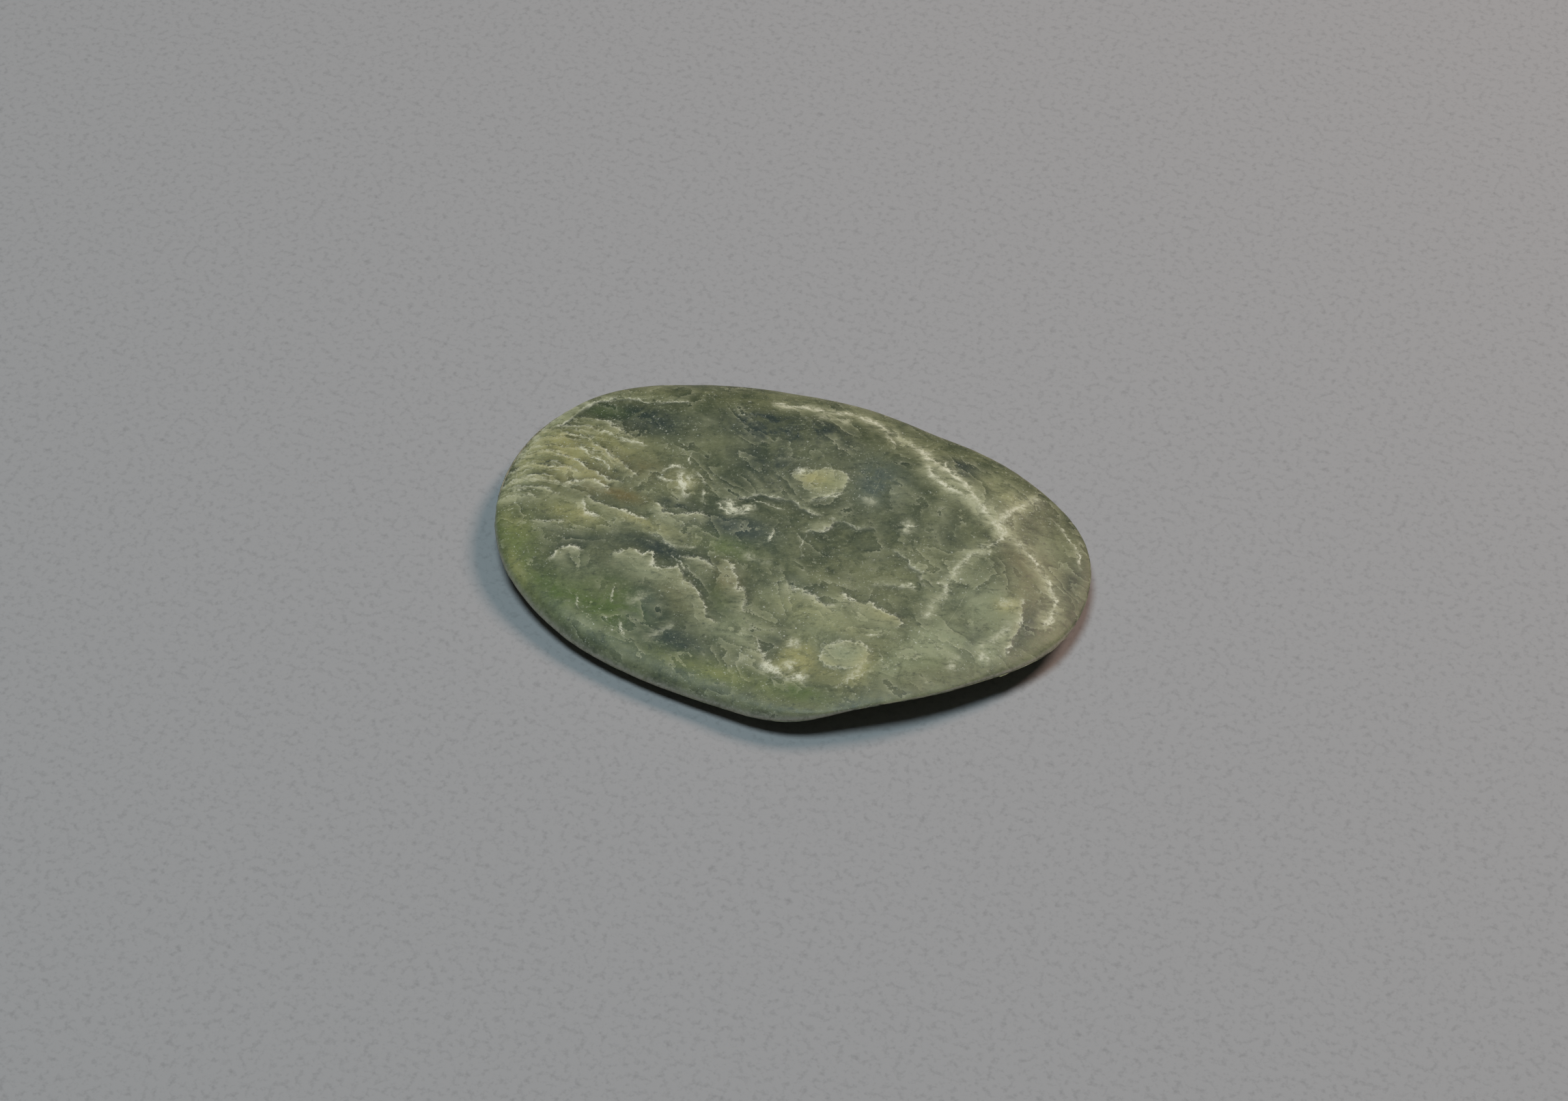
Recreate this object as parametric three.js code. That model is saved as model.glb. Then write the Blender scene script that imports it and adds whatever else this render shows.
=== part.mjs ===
// A river pebble of green nephrite jade: one flat, water-worn stone, lying on its broad face.
// Millimetres, +Z up. +X runs along the stone's length, and the origin is on the ground under its middle.
import * as THREE from 'three';
import { mergeVertices } from 'three/addons/utils/BufferGeometryUtils.js';

// --- Driving dimensions ---

const FACETS = 17; // cuts along each edge of the twenty-sided ball that the stone is shaped from
// Tight rounding of the rim above and below its widest line, and the least rise that a worn face leaves of it.
const EDGE = { rise: 2.2, least: 1.1, drop: 1.0, squareness: 12 };
const SHOULDER = 0.3; // slope of the top from the rim up to its worn faces
const REST = 0.45; // share of the underside that is worn flat, where the stone rests
const FACE_BLEND = 0.9; // rounding where two worn faces meet

// The rim, at equal bearings counted from +X towards +Y: how far out it lies, and the height of its widest line.
const RIM = [
  { radius: 49.1, height: 4.2 },
  { radius: 50.1, height: 4.6 },
  { radius: 42.9, height: 4.8 },
  { radius: 36.2, height: 4.8 },
  { radius: 34.8, height: 4.6 },
  { radius: 35.7, height: 4.6 },
  { radius: 40.3, height: 4.8 },
  { radius: 47.3, height: 5.0 },
  { radius: 49.1, height: 5.4 },
  { radius: 47.0, height: 4.4 },
  { radius: 40.6, height: 2.9 },
  { radius: 35.3, height: 2.5 },
  { radius: 33.5, height: 2.7 },
  { radius: 35.7, height: 3.6 },
  { radius: 37.1, height: 5.8 },
  { radius: 41.8, height: 5.4 },
];

// The broad faces worn on the top. Each is a plane that passes this high over a line lying across its bearing,
// this far out from the middle, and falls outwards at its slope.
const WORN_FACES = [
  { bearing: 262, out: 0, height: 7.9, slope: 0.08 }, // broad plateau, lowest along the front
  { bearing: 75, out: 27, height: 9.8, slope: 0.34 }, // long strip behind the pale vein
  { bearing: 22, out: 36, height: 8.9, slope: 0.4 }, // nose at the right end, behind its crest
  { bearing: 335, out: 36.4, height: 8.9, slope: 0.4 }, // nose at the right end, in front of its crest
  { bearing: 176, out: 36, height: 7.9, slope: 0.22 }, // furrowed left end
  { bearing: 305, out: 26, height: 7.3, slope: 0.12 }, // front right edge
];

// --- Shape ---

const TURN = 2 * Math.PI;
const rimLine = new THREE.CatmullRomCurve3(
  RIM.map(({ radius, height }) => new THREE.Vector3(radius, height, 0)),
  true,
  'catmullrom',
  0.5,
);

/** The rim's radius and height at a bearing in radians. */
function rimAt(bearing) {
  const { x: radius, y: height } = rimLine.getPoint(THREE.MathUtils.euclideanModulo(bearing / TURN, 1));
  return { radius, height };
}

/** The lower of two heights, rounded off where they meet. */
function softMin(a, b, blend) {
  return (a + b - Math.hypot(a - b, blend)) / 2;
}

/** Height of one worn face over a point of the plan. */
function faceHeight({ bearing, out, height, slope }, x, y) {
  const angle = THREE.MathUtils.degToRad(bearing);
  return height - slope * (x * Math.cos(angle) + y * Math.sin(angle) - out);
}

/** How far the rim's rounding has run its course, from 0 on the rim to 1 inside it. */
function edgeShare(out) {
  return Math.sqrt(1 - out ** EDGE.squareness);
}

/** Height of the top: the rounded rim and the shoulder above it, cut by each worn face in turn. */
function topHeight(x, y, out, rim) {
  const share = edgeShare(out);
  const blend = FACE_BLEND * share;
  const shoulder = rim.height + EDGE.rise * share + SHOULDER * rim.radius * (1 - out);
  const worn = WORN_FACES.reduce((top, face) => softMin(top, faceHeight(face, x, y), blend), shoulder);
  return -softMin(-worn, -(rim.height + EDGE.least * share), blend);
}

/** Height of the underside: flat where the stone rests, and rising from there to the rounded rim. */
function bellyHeight(out, rim) {
  const bulge = (out ** 2 - REST ** 2) / (1 - REST ** 2);
  return Math.max(0, (rim.height - EDGE.drop) * bulge + EDGE.drop * (1 - edgeShare(out)));
}

/** Carries a point of the unit ball to the pebble's surface. */
function onPebble(point) {
  const bearing = Math.atan2(point.y, point.x);
  const rim = rimAt(bearing);
  const out = Math.min(Math.hypot(point.x, point.y), 1);
  const x = out * rim.radius * Math.cos(bearing);
  const y = out * rim.radius * Math.sin(bearing);
  const z = point.z > 0 ? topHeight(x, y, out, rim) : bellyHeight(out, rim);
  return new THREE.Vector3(x, y, z);
}

function pebbleGeometry() {
  const ball = new THREE.IcosahedronGeometry(1, FACETS);
  ball.deleteAttribute('normal');
  ball.deleteAttribute('uv');
  const geometry = mergeVertices(ball, 1e-5);
  const places = geometry.getAttribute('position');
  const point = new THREE.Vector3();
  for (let i = 0; i < places.count; i += 1) {
    const { x, y, z } = onPebble(point.fromBufferAttribute(places, i));
    places.setXYZ(i, x, y, z);
  }
  geometry.computeBoundingBox();
  const middle = geometry.boundingBox.getCenter(new THREE.Vector3());
  geometry.translate(-middle.x, -middle.y, 0);
  geometry.computeVertexNormals();
  return geometry;
}

const nephrite = new THREE.MeshStandardMaterial({ color: 0x6b7350, roughness: 0.5, metalness: 0 });

const pebble = new THREE.Mesh(pebbleGeometry(), nephrite);
pebble.name = 'pebble';

const stone = new THREE.Group();
stone.add(pebble);

export default stone;
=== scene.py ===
"""A river pebble of green nephrite, lying on its broad face on a plain pale table.

The stone is shaped from a cube that is rounded, wrapped onto the shape of its solid, and then worn, torn and
furrowed. Its veins are drawn paths over its plan, in millimetres, which the finish frays and fades.
"""
import logging
import math
from dataclasses import dataclass
from enum import Enum

import bpy
import numpy as np
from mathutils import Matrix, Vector


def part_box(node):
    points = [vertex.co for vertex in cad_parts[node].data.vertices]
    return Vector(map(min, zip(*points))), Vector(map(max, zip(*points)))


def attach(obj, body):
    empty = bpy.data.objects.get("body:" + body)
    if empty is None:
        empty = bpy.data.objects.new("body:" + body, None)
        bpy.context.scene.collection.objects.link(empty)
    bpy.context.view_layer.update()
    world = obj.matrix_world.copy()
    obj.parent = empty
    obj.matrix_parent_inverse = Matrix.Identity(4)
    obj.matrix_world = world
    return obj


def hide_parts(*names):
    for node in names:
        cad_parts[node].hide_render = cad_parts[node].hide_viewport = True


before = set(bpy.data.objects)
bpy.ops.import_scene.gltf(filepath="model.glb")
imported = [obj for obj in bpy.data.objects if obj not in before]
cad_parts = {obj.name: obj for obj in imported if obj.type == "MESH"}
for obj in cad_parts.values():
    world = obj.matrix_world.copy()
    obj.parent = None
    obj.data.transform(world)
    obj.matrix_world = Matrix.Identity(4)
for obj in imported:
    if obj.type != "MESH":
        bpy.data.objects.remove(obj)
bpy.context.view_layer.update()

LOG = logging.getLogger("river_pebble")
MM = 0.001
VEIN_SHEETS = 6  # sheets that the veins are spread over, so that no two that touch share one

Point = tuple[float, float]
Path = tuple[Point, ...]
Colour = tuple[float, float, float]
Piece = bpy.types.Object
Mesh = bpy.types.Mesh
Material = bpy.types.Material
Tree = bpy.types.NodeTree
Node = bpy.types.Node
Socket = bpy.types.NodeSocket


# --- Veins, tears and stains ---

PLAN_CENTRE: Point = (-0.3, 1.8)  # where the middle of the drawn plan lies on the stone, in millimetres


class Face(Enum):
    """The side of the stone that a mark lies on, as the sign of its height."""

    TOP = 1.0
    UNDER = -1.0


@dataclass(frozen=True)
class Look:
    """How a vein looks across its path. Lengths are in millimetres.

    Args:
        width: Half the width of the bright thread.
        glow: How bright the thread is, from 0 to 1.
        right: Pale veil on the right of the path, as it is travelled. Below 0 it is a shade instead.
        left: The same on the left.
        reach: How far the veil or shade spreads from the thread.
        step: How far the surface rises on the right, above the left.
    """

    width: float
    glow: float
    right: float
    left: float
    reach: float
    step: float = 0.0


class Kind(Enum):
    """The kinds of vein, from the broad healed cracks to single scratches."""

    SEAM = Look(width=0.34, glow=0.72, right=0.92, left=0.74, reach=2.8)
    THREAD = Look(width=0.16, glow=0.74, right=0.25, left=0.18, reach=1.3)
    TEAR = Look(width=0.18, glow=0.74, right=0.80, left=-0.55, reach=3.4, step=0.07)
    SOFT_TEAR = Look(width=0.24, glow=0.34, right=0.55, left=-0.40, reach=3.2, step=0.04)
    DARK_TEAR = Look(width=0.18, glow=0.55, right=-0.50, left=0.42, reach=2.6, step=-0.05)
    ISLAND = Look(width=0.20, glow=0.42, right=0.80, left=-0.35, reach=4.2, step=0.05)
    BLOTCH = Look(width=0.55, glow=0.95, right=0.70, left=0.70, reach=1.9)
    STREAK = Look(width=0.40, glow=0.26, right=0.34, left=0.34, reach=2.0)
    SCRATCH = Look(width=0.11, glow=0.80, right=0.0, left=0.0, reach=0.6)

@dataclass(frozen=True)
class Vein:
    """One vein: a path over the plan of the stone, in millimetres, with its look.

    Args:
        kind: What kind of vein it is.
        path: The points that it passes, in order.
        strength: Scales how bright and how veiled it is.
        closed: Whether the path runs back to its first point.
        face: The side of the stone that it lies on.
    """

    kind: Kind
    path: Path
    strength: float = 1.0
    closed: bool = False
    face: Face = Face.TOP


BACK_VEINS = (  # the long pale seam along the back, and the seam that crosses it
    Vein(Kind.SEAM, (
        (-14, 24.6), (-10, 25), (-7, 26.3), (-4.5, 26.3), (-2, 27.3), (0, 28), (2, 28), (4, 27.2),
        (7, 26.3), (9.5, 25.2), (12, 24.4), (14.5, 23.4), (16.5, 22),
    ), 0.85),
    Vein(Kind.SEAM, (
        (15, 21.5), (18, 18.8), (21, 17.3), (23.5, 16.6), (26, 16), (28, 15), (30.5, 13.6), (33, 12.4),
        (36, 11.6), (38.5, 10), (41, 8), (43.5, 6.2), (45, 4.2), (45.6, 1.5), (45.7, -3),
    )),
    Vein(Kind.SEAM, ((14, 23), (19, 21.5), (22, 19.8), (24, 18.6), (26, 17), (29.5, 14.6))),
    Vein(Kind.THREAD, ((6.6, 26), (8, 24.2), (9.6, 22.8))),
    Vein(Kind.STREAK, ((-6, 24.6), (-1, 25), (1.3, 25))),
    Vein(Kind.SEAM, (
        (36.8, 23.6), (34.5, 21.8), (33.3, 20), (32.2, 17), (31.5, 15), (31.8, 13), (32.8, 11.5),
        (32.5, 9.5), (31, 7.5), (29.8, 5.8), (28.9, 3.5), (28.5, 1), (28.2, -1.5), (28.3, -4), (27.8, -6),
        (27.3, -10),
    ), 0.8),
    Vein(Kind.BLOTCH, ((30.2, 8.4), (31.2, 7.4), (32.2, 6)), 0.5),
    Vein(Kind.THREAD, ((37.5, 20.3), (40.5, 19.3), (43, 17), (45.5, 14.5), (46.8, 11.2))),
    Vein(Kind.TEAR, ((40.2, 1.4), (41, -0.6), (41.5, -2.3), (41.9, -5.7), (42, -8.4), (42, -11.3))),
    Vein(Kind.STREAK, ((40.6, -4), (39.6, -7.5), (38.2, -10.5), (37, -13.2)), 1.2),
    Vein(Kind.BLOTCH, ((38.2, -13.9), (38.8, -12.2), (40.8, -13.2)), 0.6),
    Vein(Kind.BLOTCH, ((34.8, -13.4), (34.9, -15.6), (35.2, -17.6)), 0.6),
    # Painted highlight: this blotch, with the clouds round (38.6, -1.5), paints the key lamp's small pinkish
    # glint.
    Vein(Kind.BLOTCH, ((37.4, -2.2), (38.6, -1.4), (39.8, -0.9)), 0.55),
)

LEFT_VEINS = (  # the furrowed left end, where layers are torn one over another
    Vein(Kind.DARK_TEAR, (
        (-46.4, 6), (-44.8, 9), (-43.7, 11), (-42.9, 13), (-41.5, 15), (-39, 16.5), (-35.5, 17), (-32, 17),
        (-29, 18), (-25.5, 19),
    )),
    Vein(Kind.TEAR, ((-43.8, 10.8), (-40, 11), (-37.5, 10.7), (-35.5, 9.8), (-33.5, 8.8), (-30, 8.3)), 0.7),
    Vein(Kind.TEAR, ((-45, 6.2), (-42, 6.2), (-40, 6.4), (-37.5, 6.7))),
    Vein(Kind.TEAR, (
        (-43.5, 1.2), (-39.5, 1), (-37.5, 0.3), (-36, -0.7), (-34, -1), (-31.5, -1.2), (-28.8, -1.6),
    )),
    Vein(Kind.TEAR, ((-45.5, -2.3), (-42, -2), (-39, -1.1))),
    Vein(Kind.TEAR, ((-46, -5), (-43, -4.2), (-40.2, -3.6))),
    Vein(Kind.TEAR, (
        (-39, -5), (-36.2, -3.4), (-35.7, -2.7), (-34.5, -2.5), (-33, -2.5), (-32, -2.8), (-30.2, -4),
    )),
    Vein(Kind.TEAR, ((-34.5, -5.8), (-32, -6.5), (-29, -6.6), (-27, -6.6), (-25, -6.8), (-21.8, -7.2))),
    Vein(Kind.TEAR, ((-34.3, -6.2), (-33, -8.3), (-32.2, -9.4), (-31, -9.4), (-29.2, -9.1))),
    Vein(Kind.SOFT_TEAR, ((-41, -14.1), (-38.5, -13.3), (-36.5, -12.8), (-33.6, -12))),
    Vein(Kind.TEAR, (
        (-33.9, -20.6), (-33.6, -18.6), (-32.6, -17.2), (-31.9, -16.4), (-30.6, -16.3), (-29.3, -17.2),
    )),
    Vein(Kind.STREAK, ((-48.4, 3), (-47.4, 8), (-45.6, 12), (-43, 15.6)), 1.6),
    Vein(Kind.STREAK, ((-48.9, -3), (-48.6, 2), (-47.6, 6)), 1.4),
    Vein(Kind.THREAD, ((-41, 8.4), (-36, 8), (-32, 7.4), (-28.4, 7.7))),
    Vein(Kind.TEAR, ((-38.5, 5.4), (-35, 4.2), (-32, 2.8), (-29.4, 1.8), (-27.2, 0.6)), 0.8),
    Vein(Kind.THREAD, ((-42, 3.6), (-38.4, 3.2), (-34.6, 1.9), (-31.8, 0.2))),
)

MIDDLE_VEINS = (  # islands and tears over the broad flat
    Vein(Kind.TEAR, (
        (-23.4, -2.8), (-21.2, -4), (-20, -4.9), (-18.5, -4.5), (-17, -3.7), (-15.5, -3), (-14.5, -2.5),
        (-12.2, -2.8),
    )),
    Vein(Kind.BLOTCH, ((-21.4, 5.4), (-20.5, 2.5), (-19.5, 0.5), (-17.4, 0.1))),
    Vein(Kind.BLOTCH, ((-19.8, 4.6), (-19.2, 2.4), (-17.8, 1.6)), 0.7),
    Vein(Kind.THREAD, ((-24.6, 2.6), (-23.6, 4.6), (-22.2, 5.2), (-20.6, 5.1)), 1.3),
    Vein(Kind.THREAD, ((-20.3, 5.5), (-17.5, 4.6), (-16.4, 2.8))),
    Vein(Kind.THREAD, ((-24.8, 2.4), (-22.8, 1.6), (-21, 2.4)), 1.1),
    Vein(Kind.THREAD, ((-16.4, 2.6), (-15.2, 0.2), (-14.4, -1)), 0.9),
    Vein(Kind.BLOTCH, ((-12.8, 2.1), (-11, 1), (-10.4, 0), (-9.3, 0), (-8, 0.8), (-6.2, 1.7)), 0.95),
    Vein(Kind.THREAD, ((-13.6, 1), (-12, -0.4), (-10.6, -0.8), (-8.4, -0.6)), 1.1),
    Vein(Kind.THREAD, ((-8.8, 3.4), (-6.4, 3), (-4.2, 3.4), (-1.6, 3.2))),
    Vein(Kind.DARK_TEAR, (
        (-11, 1.9), (-8.5, 3.8), (-7, 5), (-5, 4.6), (-2, 5.3), (0, 4.7), (2, 4), (4.5, 3.6),
    )),
    Vein(Kind.DARK_TEAR, ((4.7, 3.7), (8, 4.2), (10, 3.7), (13.6, 5)), 0.6),
    Vein(Kind.TEAR, ((6.4, 4.4), (6.3, 2.5), (5.5, 1.2), (4.5, 0.6), (2.4, 0.1)), 0.9),
    Vein(Kind.ISLAND, (
        (-4.4, 9.6), (-3.7, 10.5), (-2.3, 11.2), (-0.5, 12.5), (1.5, 13.8), (3.5, 14), (5, 13.6),
        (5.3, 11.5), (5.5, 10), (4.5, 9), (3, 8), (2.3, 7), (0.4, 6),
    )),
    Vein(Kind.BLOTCH, ((-3.4, 12.6), (-2.2, 10.6)), 0.7),
    Vein(Kind.THREAD, ((1.6, 6.6), (5.9, 10.2)), 1.3),
    Vein(Kind.STREAK, ((7.8, 9.8), (10, 9.9), (12.2, 9.4))),
    Vein(Kind.BLOTCH, ((17.5, 5), (18, 6.8), (16.5, 8.1)), 0.5),
    Vein(Kind.THREAD, ((17.2, 6.2), (18, 6.8), (19.8, 8.2))),
    Vein(Kind.DARK_TEAR, (
        (17.2, 1.9), (18.8, 1.5), (20, 1), (20.8, 0.8), (21.2, 0), (22.5, -0.3), (23.8, -1), (24.5, -3),
    )),
    Vein(Kind.TEAR, (
        (12.3, -9.6), (14.5, -10.2), (16, -10), (17.3, -10.6), (18.5, -9.8), (19.5, -10.5), (21, -10.3),
        (22.5, -10.6), (24, -10.9), (24.7, -11.8), (23.6, -12.9),
    )),
    Vein(Kind.SOFT_TEAR, (
        (3.4, -9.8), (5, -11.3), (6, -11.6), (7.5, -11.4), (8.8, -11.7), (9.6, -12), (10.2, -12.5),
        (11.8, -12.8), (14, -12.2),
    ), 1.3),
    Vein(Kind.DARK_TEAR, ((16.5, -6.4), (18.8, -5.4), (20.5, -5), (23.5, -4.4)), 0.8),
    Vein(Kind.THREAD, ((19.8, -16), (21.2, -15.5), (22.6, -15))),
    Vein(Kind.THREAD, ((22, -4.5), (23.2, -3.8), (24.2, -4.7))),
    Vein(Kind.STREAK, ((-5.6, -7.2), (-4, -8), (-3, -8.3), (-1.5, -8), (0.8, -7.4))),
)

FRONT_VEINS = (  # the folded layers that run down to the front edge
    Vein(Kind.ISLAND, (
        (15, -20), (17, -18.8), (19.5, -18), (21.2, -18.2), (22.3, -19.5), (22.2, -21), (20.5, -22.8),
        (18.5, -23.8), (16.5, -24), (15, -23.2),
    ), 0.9, closed=True),
    Vein(Kind.THREAD, ((22.4, -17), (24.2, -19.4), (23.4, -22.8), (21, -25.4), (18.6, -28)), 0.7),
    Vein(Kind.STREAK, ((22, -20), (21.6, -23.6), (19.4, -26)), 1.2),
    Vein(Kind.BLOTCH, ((9.3, -20), (9.8, -22), (11.2, -21)), 0.7),
    Vein(Kind.BLOTCH, (
        (6, -26.8), (8, -27.5), (9.3, -27.5), (10.3, -28), (11.5, -28), (12.8, -27.5), (15, -26.5),
    ), 0.9),
    Vein(Kind.BLOTCH, ((10.1, -24.8), (11.8, -27)), 0.6),
    Vein(Kind.TEAR, ((3.9, -21.7), (5, -24), (5.8, -25.3), (7.4, -27.6)), 0.7),
    Vein(Kind.SOFT_TEAR, (
        (-14.6, -12), (-12.3, -11.5), (-11.3, -11.2), (-10.2, -11.5), (-9.3, -12.1), (-8.6, -11.6),
        (-7.4, -11.7),
    ), 1.3),
    Vein(Kind.TEAR, (
        (-8.4, -9.6), (-6.5, -10), (-5.8, -10.4), (-5, -11.4), (-4.3, -12.5), (-3.6, -13.3), (-3.1, -14.6),
        (-2.2, -14.5), (-1.5, -14.6), (-0.9, -15.5), (-0.8, -17), (-0.9, -17.8), (1, -18.3),
    ), 0.7),
    Vein(Kind.TEAR, (
        (-13.3, -15.6), (-11.3, -16.4), (-10, -16.8), (-9, -17.5), (-7.9, -18.3), (-7, -19.3),
        (-6.3, -20.2), (-5.6, -21.5), (-4, -21.8), (-2.7, -22.8),
    ), 0.85),
    Vein(Kind.TEAR, (
        (-25.4, -15.6), (-23, -13.8), (-22, -13), (-21, -13.6), (-20.2, -13.9), (-19.5, -13.4),
        (-18.8, -13), (-18, -13.8), (-17.6, -15.3), (-16.5, -15.3), (-15, -15), (-14, -14.2), (-13, -14.5),
        (-11.6, -16.2),
    )),
    Vein(Kind.THREAD, ((-16.2, -12.6), (-14.3, -13), (-13.4, -13.6), (-11.6, -14.2))),
    Vein(Kind.SOFT_TEAR, ((-14.5, -10.9), (-17.5, -10), (-19, -9.3), (-21.5, -9.2))),
    Vein(Kind.THREAD, ((-15.3, -10.6), (-14, -9.5), (-12.2, -9.3))),
    Vein(Kind.STREAK, ((-19.2, -23.6), (-17.5, -22.5), (-16.8, -21.8), (-15.4, -22.4)), 1.5),
    Vein(Kind.STREAK, ((-9.4, -24), (-11.5, -27.5), (-13.6, -30)), 0.8),
    Vein(Kind.STREAK, ((4.8, -25.8), (3, -28.2), (1.4, -30.4)), 0.8),
)

SCRATCHES = tuple(
    Vein(Kind.SCRATCH, path)
    for path in (
        ((-22.3, -20.5), (-21.3, -22.8), (-20.5, -24.8)),
        ((-27.4, -25), (-25, -27.5)),
        ((-22.4, -26.7), (-19.7, -28.2)),
        ((-18.5, -27), (-17, -29), (-15.8, -30.5)),
        ((2.9, -1), (3.5, -3), (4.6, -5.6)),
        ((-2.3, -0.8), (-2.1, -4.4)),
        ((-21.5, 9.4), (-20.3, 6)),
        ((18.7, 23.6), (19.3, 20.8)),
        ((25.6, -2.6), (28, -1), (30.8, -0.1)),
    )
)

UNDER_VEINS = (  # the hidden side, where the seams of the top run on through the stone
    Vein(Kind.SEAM, ((46, 4), (38, 7), (31, 12), (22, 15), (12, 21), (2, 25), (-9, 27)), face=Face.UNDER),
    Vein(Kind.SEAM, ((37, 20), (33, 10), (29, 1), (24, -9), (22, -18), (15, -27)), 0.8, face=Face.UNDER),
    Vein(Kind.TEAR, ((-40, 6), (-31, 3), (-24, 4), (-17, 1), (-9, 2), (-3, -2)), face=Face.UNDER),
    Vein(Kind.TEAR, ((-36, -7), (-29, -9), (-23, -8), (-16, -12), (-10, -17)), face=Face.UNDER),
    Vein(Kind.SOFT_TEAR, ((-26, 15), (-19, 12), (-13, 13), (-6, 10)), face=Face.UNDER),
    Vein(Kind.ISLAND, ((2, 8), (6, 12), (11, 11), (12, 7), (8, 4), (4, 4)), closed=True, face=Face.UNDER),
    Vein(Kind.ISLAND, ((-8, -19), (-4, -16), (1, -17), (2, -21), (-3, -24)), closed=True, face=Face.UNDER),
    Vein(Kind.DARK_TEAR, ((5, -5), (10, -4), (15, -7), (19, -5)), face=Face.UNDER),
    Vein(Kind.THREAD, ((-44, -3), (-38, -1), (-32, -3)), face=Face.UNDER),
    Vein(Kind.SCRATCH, ((8, -12), (10, -18)), face=Face.UNDER),
    Vein(Kind.SCRATCH, ((-22, -16), (-18, -22)), face=Face.UNDER),
    Vein(Kind.SCRATCH, ((24, 4), (30, 1)), face=Face.UNDER),
)

class Stain(Enum):
    """The tints that cloud the stone, each a channel that the finish reads. Some clouds are painted
    highlights instead.
    """

    TEAL = 0
    MOSS = 1
    STRAW = 2
    HAZE = 3
    RUST = 4
    SLATE = 5


@dataclass(frozen=True)
class Cloud:
    """One soft oval of a stain over the plan of the stone, in millimetres and degrees.

    Args:
        centre: Its middle.
        reach: How far it spreads along its length and across.
        amount: How strong it is in the middle.
        turn: The bearing of its length.
    """

    centre: Point
    reach: Point
    amount: float = 1.0
    turn: float = 0.0


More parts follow.
